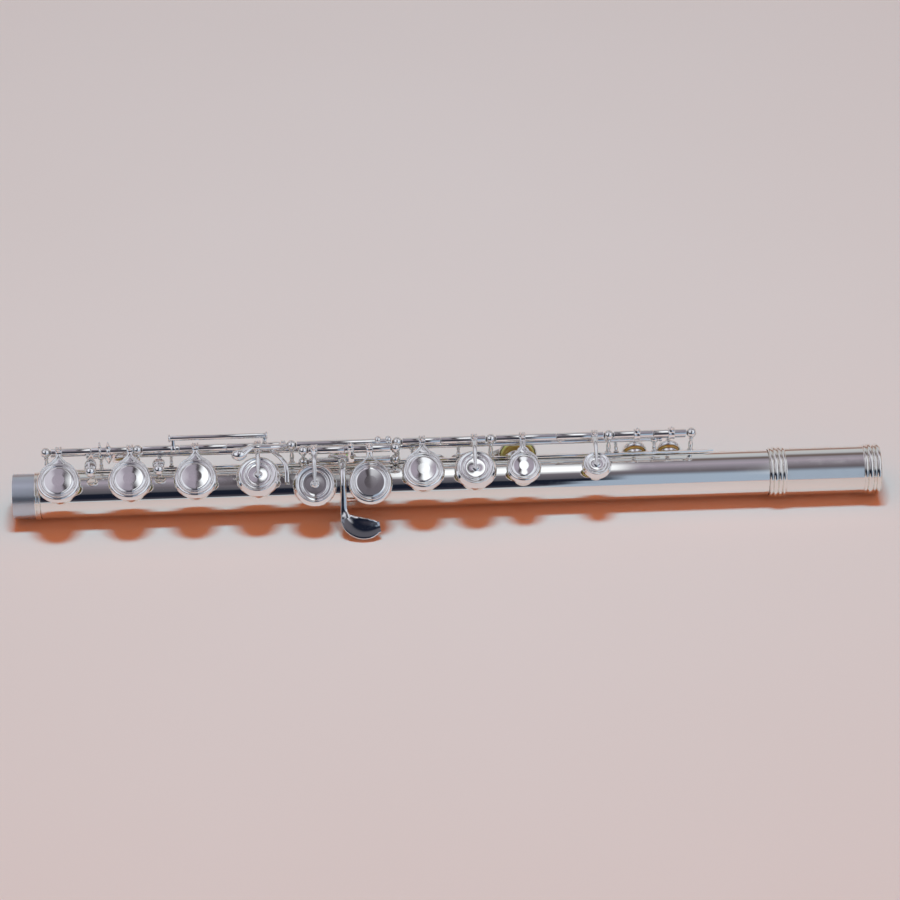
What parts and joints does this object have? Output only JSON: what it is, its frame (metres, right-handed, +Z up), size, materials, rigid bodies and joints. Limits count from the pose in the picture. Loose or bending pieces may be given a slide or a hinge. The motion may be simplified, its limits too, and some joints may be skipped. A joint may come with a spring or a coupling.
{
  "type": "concert flute middle joint",
  "caption": "Middle joint of a concert flute: silver tube with tenon and beaded barrel, ribbed posts, closed-hole keys with offset G, G sharp spoon, split E, trill and thumb keys.",
  "frame": {"origin": "on the table under the middle of the whole joint", "axes": "+X along the tube towards the head-joint barrel, -Y towards the front where the main cups face, +Z up as the flute lies on a table"},
  "size_m": [0.3748, 0.0443, 0.0362],
  "materials": {
    "tube_silver": "polished silver plate, duller on the tenon",
    "key_silver": "polished silver plate with fine handling marks",
    "rod_steel": "ground bright steel",
    "spring_steel": "tempered steel needle",
    "pad_skin": "yellow bladder skin over felt"
  },
  "bodies": {
    "body": {"body_tube": "tube_silver", "barrel": "tube_silver", "tenon_ring": "tube_silver", "right_hand_rib": "key_silver", "left_hand_rib": "key_silver", "thumb_rib": "key_silver", "right_hand_steel": "rod_steel", "left_hand_steel": "rod_steel", "g_steel": "rod_steel", "g_sharp_steel": "rod_steel", "thumb_steel": "rod_steel", "d_spring": "spring_steel", "e_spring": "spring_steel", "f_spring": "spring_steel", "f_sharp_spring": "spring_steel", "a_spring": "spring_steel", "b_flat_spring": "spring_steel", "c_spring": "spring_steel", "c_sharp_spring": "spring_steel", "trill_spring": "spring_steel"},
    "d_key": {"d_key": "key_silver", "d_pad": "pad_skin"},
    "e_key": {"e_key": "key_silver", "e_pad": "pad_skin"},
    "f_key": {"f_key": "key_silver", "f_pad": "pad_skin"},
    "f_sharp_key": {"f_sharp_key": "key_silver", "f_sharp_pad": "pad_skin"},
    "g_lower_key": {"g_lower_key": "key_silver", "g_lower_pad": "pad_skin"},
    "g_upper_key": {"g_upper_key": "key_silver", "g_upper_pad": "pad_skin"},
    "a_key": {"a_key": "key_silver", "a_pad": "pad_skin"},
    "b_flat_key": {"b_flat_key": "key_silver", "b_flat_pad": "pad_skin"},
    "c_key": {"c_key": "key_silver", "c_pad": "pad_skin"},
    "c_sharp_key": {"c_sharp_key": "key_silver", "c_sharp_pad": "pad_skin"},
    "g_sharp_key": {"g_sharp_key": "key_silver", "g_sharp_pad": "pad_skin"},
    "thumb_b_key": {"thumb_b_key": "key_silver", "thumb_b_pad": "pad_skin"},
    "thumb_b_flat_lever": {"thumb_b_flat_lever": "key_silver"},
    "d_trill_lever": {"d_trill_lever": "key_silver"},
    "d_sharp_trill_lever": {"d_sharp_trill_lever": "key_silver"},
    "d_trill_key": {"d_trill_key": "key_silver", "d_trill_pad": "pad_skin"},
    "d_sharp_trill_key": {"d_sharp_trill_key": "key_silver", "d_sharp_trill_pad": "pad_skin"},
    "split_e_lever": {"split_e_lever": "key_silver"},
    "b_flat_shake_lever": {"b_flat_shake_lever": "key_silver", "b_flat_shake_rod": "key_silver"}
  },
  "joints": [
    {"name": "d_key_hinge", "type": "hinge", "parent": "body", "child": "d_key", "pos_m": [-0.16685, 0.0083, 0.03064], "axis": [1, 0, 0], "range_deg": [0, 10.5], "stiffness_Nm_per_rad": 0.01, "springref_deg": -20.05},
    {"name": "e_key_hinge", "type": "hinge", "parent": "body", "child": "e_key", "pos_m": [-0.13645, 0.0083, 0.03064], "axis": [1, 0, 0], "range_deg": [0, 10.5], "stiffness_Nm_per_rad": 0.01, "springref_deg": -20.05},
    {"name": "f_key_hinge", "type": "hinge", "parent": "body", "child": "f_key", "pos_m": [-0.10845, 0.0083, 0.03064], "axis": [1, 0, 0], "range_deg": [0, 10.5], "stiffness_Nm_per_rad": 0.01, "springref_deg": -20.05},
    {"name": "f_sharp_key_hinge", "type": "hinge", "parent": "body", "child": "f_sharp_key", "pos_m": [-0.08175, 0.0083, 0.03064], "axis": [1, 0, 0], "range_deg": [0, 10.5], "stiffness_Nm_per_rad": 0.01, "springref_deg": -20.05},
    {"name": "g_lower_key_hinge", "type": "hinge", "parent": "body", "child": "g_lower_key", "pos_m": [-0.05765, 0.0033, 0.0315], "axis": [1, 0, 0], "range_deg": [0, 10.5], "stiffness_Nm_per_rad": 0.01, "springref_deg": -20.05},
    {"name": "g_upper_key_hinge", "type": "hinge", "parent": "body", "child": "g_upper_key", "pos_m": [-0.03385, 0.0033, 0.0315], "axis": [1, 0, 0], "range_deg": [0, 10.5], "stiffness_Nm_per_rad": 0.01, "springref_deg": -20.05},
    {"name": "a_key_hinge", "type": "hinge", "parent": "body", "child": "a_key", "pos_m": [-0.01105, 0.00851, 0.03037], "axis": [1, 0, 0], "range_deg": [0, 10.5], "stiffness_Nm_per_rad": 0.01, "springref_deg": -20.05},
    {"name": "b_flat_key_hinge", "type": "hinge", "parent": "body", "child": "b_flat_key", "pos_m": [0.01135, 0.00851, 0.03037], "axis": [1, 0, 0], "range_deg": [0, 10.5], "stiffness_Nm_per_rad": 0.01, "springref_deg": -20.05},
    {"name": "c_key_hinge", "type": "hinge", "parent": "body", "child": "c_key", "pos_m": [0.03205, 0.00851, 0.03037], "axis": [1, 0, 0], "range_deg": [0, 10.5], "stiffness_Nm_per_rad": 0.01, "springref_deg": -20.05},
    {"name": "c_sharp_key_hinge", "type": "hinge", "parent": "body", "child": "c_sharp_key", "pos_m": [0.06335, 0.00851, 0.03037], "axis": [1, 0, 0], "range_deg": [0, 10.5], "stiffness_Nm_per_rad": 0.01, "springref_deg": -20.05},
    {"name": "g_sharp_key_hinge", "type": "hinge", "parent": "body", "child": "g_sharp_key", "pos_m": [-0.04555, 0.00552, 0.02332], "axis": [1, 0, 0], "range_deg": [0, 8], "stiffness_Nm_per_rad": 0.01, "springref_deg": -20.05},
    {"name": "thumb_b_key_hinge", "type": "hinge", "parent": "body", "child": "thumb_b_key", "pos_m": [0.03105, 0.0152, 0.00245], "axis": [1, 0, 0], "range_deg": [0, 15], "stiffness_Nm_per_rad": 0.01, "springref_deg": -20.05},
    {"name": "thumb_b_flat_lever_hinge", "type": "hinge", "parent": "body", "child": "thumb_b_flat_lever", "pos_m": [-0.00685, 0.0152, 0.00245], "axis": [1, 0, 0], "range_deg": [0, 8], "stiffness_Nm_per_rad": 0.01, "springref_deg": -20.05},
    {"name": "d_trill_lever_hinge", "type": "hinge", "parent": "body", "child": "d_trill_lever", "pos_m": [-0.12425, 0.01411, 0.02349], "axis": [1, 0, 0], "range_deg": [0, 12], "stiffness_Nm_per_rad": 0.01, "springref_deg": -20.05},
    {"name": "d_sharp_trill_lever_hinge", "type": "hinge", "parent": "body", "child": "d_sharp_trill_lever", "pos_m": [-0.15335, 0.011, 0.02558], "axis": [1, 0, 0], "range_deg": [0, 12], "stiffness_Nm_per_rad": 0.01, "springref_deg": -20.05},
    {"name": "d_trill_key_hinge", "type": "hinge", "parent": "body", "child": "d_trill_key", "pos_m": [0.08175, 0.00851, 0.03037], "axis": [1, 0, 0], "range_deg": [0, 9.6], "stiffness_Nm_per_rad": 0.01, "springref_deg": -20.05},
    {"name": "d_sharp_trill_key_hinge", "type": "hinge", "parent": "body", "child": "d_sharp_trill_key", "pos_m": [0.09665, 0.00851, 0.03037], "axis": [1, 0, 0], "range_deg": [0, 9.6], "stiffness_Nm_per_rad": 0.01, "springref_deg": -20.05},
    {"name": "split_e_lever_hinge", "type": "hinge", "parent": "body", "child": "split_e_lever", "pos_m": [-0.11785, 0.0083, 0.03064], "axis": [1, 0, 0], "range_deg": [0, 10.5], "stiffness_Nm_per_rad": 0.01, "springref_deg": -20.05},
    {"name": "b_flat_shake_lever_hinge", "type": "hinge", "parent": "body", "child": "b_flat_shake_lever", "pos_m": [-0.07075, 0.0083, 0.03064], "axis": [1, 0, 0], "range_deg": [0, 8], "stiffness_Nm_per_rad": 0.01, "springref_deg": -20.05}
  ],
  "couplings": [
    {"joint": "f_sharp_key_hinge", "follows": "f_key_hinge", "ratio": 1},
    {"joint": "g_lower_key_hinge", "follows": "g_upper_key_hinge", "ratio": 1},
    {"joint": "b_flat_key_hinge", "follows": "a_key_hinge", "ratio": 1},
    {"joint": "c_sharp_key_hinge", "follows": "c_key_hinge", "ratio": 1},
    {"joint": "split_e_lever_hinge", "follows": "e_key_hinge", "ratio": 1},
    {"joint": "d_trill_key_hinge", "follows": "d_trill_lever_hinge", "ratio": 0.8},
    {"joint": "d_sharp_trill_key_hinge", "follows": "d_sharp_trill_lever_hinge", "ratio": 0.8}
  ]
}
